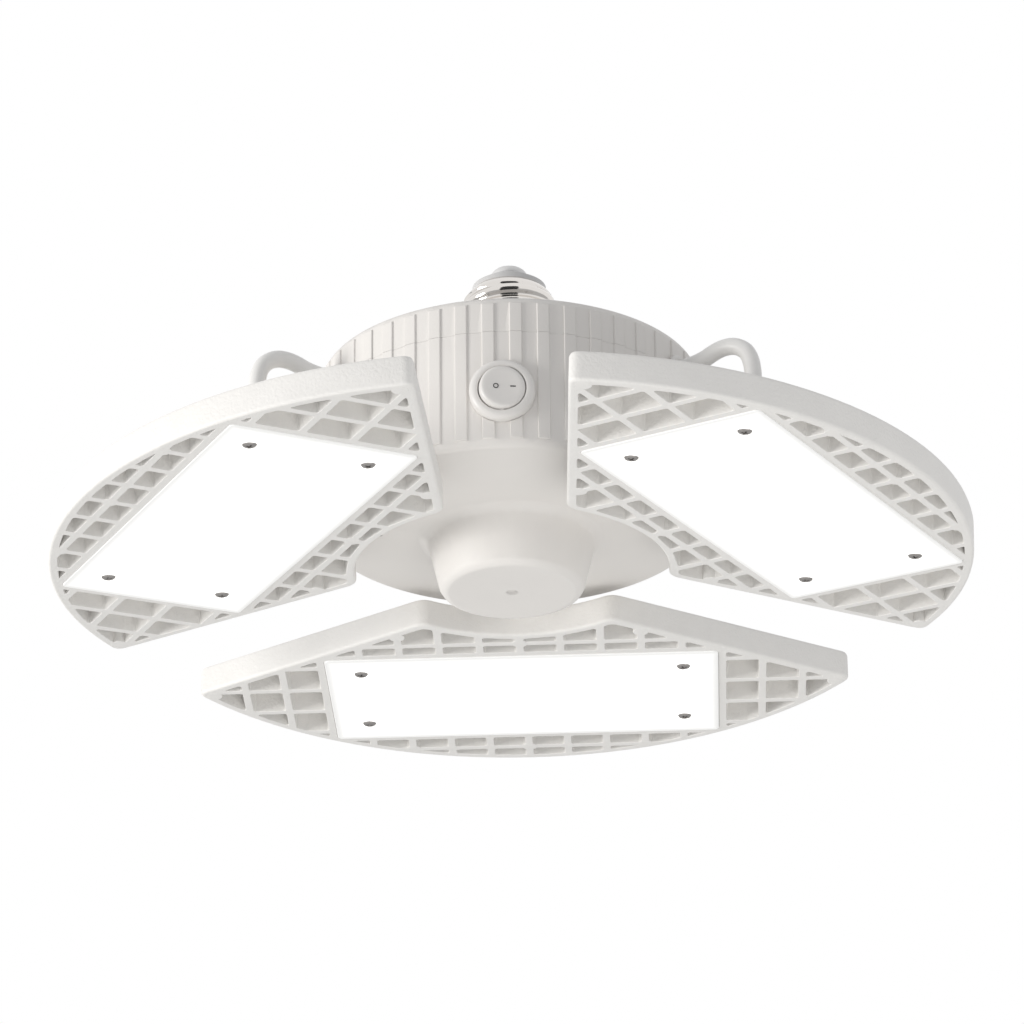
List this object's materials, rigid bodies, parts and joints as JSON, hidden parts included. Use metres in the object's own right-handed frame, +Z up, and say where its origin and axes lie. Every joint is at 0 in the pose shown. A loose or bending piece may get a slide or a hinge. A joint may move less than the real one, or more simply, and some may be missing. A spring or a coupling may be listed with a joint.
{
  "type": "deformable garage light",
  "caption": "Screw-in garage ceiling light with a ribbed round body, a rocker switch and tilting sector-shaped light panels on friction hinges.",
  "frame": {"origin": "centre of the shoulder where the screw shell meets the lamp body's collar", "axes": "+Z up along the screw base, towards the lamp holder; the rocker switch faces -Y; the far panel lies along +Y"},
  "size_m": [0.2584, 0.2547, 0.1025],
  "materials": {
    "body_plastic": "satin warm white moulded plastic",
    "panel_coat": "white powder coat with a fine texture on die-cast aluminium",
    "opal_lens": "opal diffuser, lit",
    "switch_plastic": "semi-gloss white plastic",
    "shell_metal": "polished nickel plate",
    "contact_metal": "bright tinned contact",
    "insulator": "white glazed insulator",
    "screw_steel": "plated steel",
    "lead_jacket": "smooth white flexible jacket",
    "white_rubber": "satin white rubber",
    "circuit_board": "green solder mask",
    "dark_component": "dark moulded component",
    "copper_winding": "enamelled copper winding",
    "bare_aluminium": "bare aluminium",
    "led_phosphor": "yellow phosphor"
  },
  "bodies": {
    "lamp_body": {"screw_shell": "shell_metal", "base_insulator": "insulator", "centre_contact": "contact_metal", "top_cap": "body_plastic", "housing": "body_plastic", "cap_screws": "screw_steel", "switch_body": "switch_plastic", "switch_terminals": "contact_metal", "driver_board": "circuit_board", "driver_screws": "screw_steel", "driver_transformer": "dark_component", "driver_capacitors": "dark_component", "driver_coil": "copper_winding", "driver_heat_sink": "bare_aluminium", "hinge_pin_far": "screw_steel", "hinge_nut_far": "screw_steel", "hinge_washers_far": "screw_steel", "grommet_far": "white_rubber", "lead_far": "lead_jacket", "hinge_pin_left": "screw_steel", "hinge_nut_left": "screw_steel", "hinge_washers_left": "screw_steel", "grommet_left": "white_rubber", "lead_left": "lead_jacket", "hinge_pin_right": "screw_steel", "hinge_nut_right": "screw_steel", "hinge_washers_right": "screw_steel", "grommet_right": "white_rubber", "lead_right": "lead_jacket"},
    "panel_far": {"panel_frame_far": "panel_coat", "lens_far": "opal_lens", "lens_screws_far": "screw_steel", "led_board_far": "bare_aluminium", "leds_far": "led_phosphor", "panel_arm_far": "panel_coat", "arm_screws_far": "screw_steel", "gland_far": "white_rubber"},
    "panel_left": {"panel_frame_left": "panel_coat", "lens_left": "opal_lens", "lens_screws_left": "screw_steel", "led_board_left": "bare_aluminium", "leds_left": "led_phosphor", "panel_arm_left": "panel_coat", "arm_screws_left": "screw_steel", "gland_left": "white_rubber"},
    "panel_right": {"panel_frame_right": "panel_coat", "lens_right": "opal_lens", "lens_screws_right": "screw_steel", "led_board_right": "bare_aluminium", "leds_right": "led_phosphor", "panel_arm_right": "panel_coat", "arm_screws_right": "screw_steel", "gland_right": "white_rubber"},
    "rocker": {"switch_rocker": "switch_plastic"}
  },
  "joints": [
    {"name": "panel_far_tilt", "type": "hinge", "parent": "lamp_body", "child": "panel_far", "pos_m": [0, 0.0368, -0.0587], "axis": [-1, 0, 0], "range_deg": [-2.46, 47.5], "deforming": ["lead_far"]},
    {"name": "panel_left_tilt", "type": "hinge", "parent": "lamp_body", "child": "panel_left", "pos_m": [-0.03187, -0.0184, -0.0587], "axis": [0.5, -0.866, 0], "range_deg": [-2.46, 47.5], "deforming": ["lead_left"]},
    {"name": "panel_right_tilt", "type": "hinge", "parent": "lamp_body", "child": "panel_right", "pos_m": [0.03187, -0.0184, -0.0587], "axis": [0.5, 0.866, 0], "range_deg": [-2.46, 47.5], "deforming": ["lead_right"]},
    {"name": "switch_rock", "type": "hinge", "parent": "lamp_body", "child": "rocker", "pos_m": [0, -0.056, -0.0397], "axis": [0, 0, 1], "range_deg": [-16, 0]}
  ]
}
